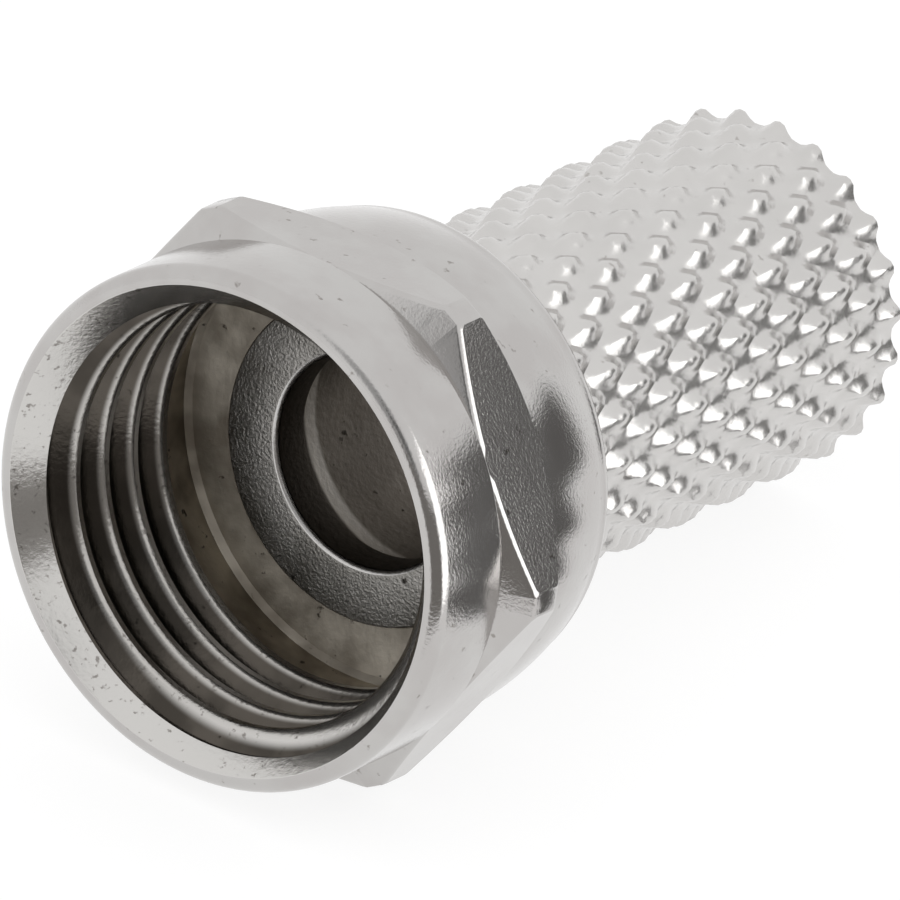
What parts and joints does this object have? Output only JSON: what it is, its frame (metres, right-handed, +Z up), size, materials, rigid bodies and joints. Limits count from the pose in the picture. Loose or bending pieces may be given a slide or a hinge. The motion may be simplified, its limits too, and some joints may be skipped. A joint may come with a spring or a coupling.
{
  "type": "twist-on f connector",
  "caption": "Twist-on F connector for coaxial cable: a hexagon coupling nut with an internal thread spins freely on a hollow knurled sleeve.",
  "frame": {"origin": "centre of the sleeve's contact face, the plane that a coaxial port's rim meets, on the connector's axis", "axes": "+Y from the mouth towards the cable end, with the connector's axis tipped 6.3 degrees down from +Y because the rear end of the barrel rests on the same plane as the nut; +Z up; a flat of the hexagon faces down"},
  "size_m": [0.0124, 0.0197, 0.0115],
  "materials": {
    "nut_plating": "bright nickel plating on brass, turned and polished",
    "sleeve_plating": "bright nickel plating on brass, knurled outside, as turned inside"
  },
  "bodies": {
    "sleeve": {"knurled_sleeve": "sleeve_plating"},
    "nut": {"coupling_nut": "nut_plating"}
  },
  "joints": [
    {"name": "nut_spin", "type": "hinge", "parent": "sleeve", "child": "nut", "pos_m": [0, 0, 0], "axis": [0, -0.9939, 0.1099], "continuous": true}
  ]
}
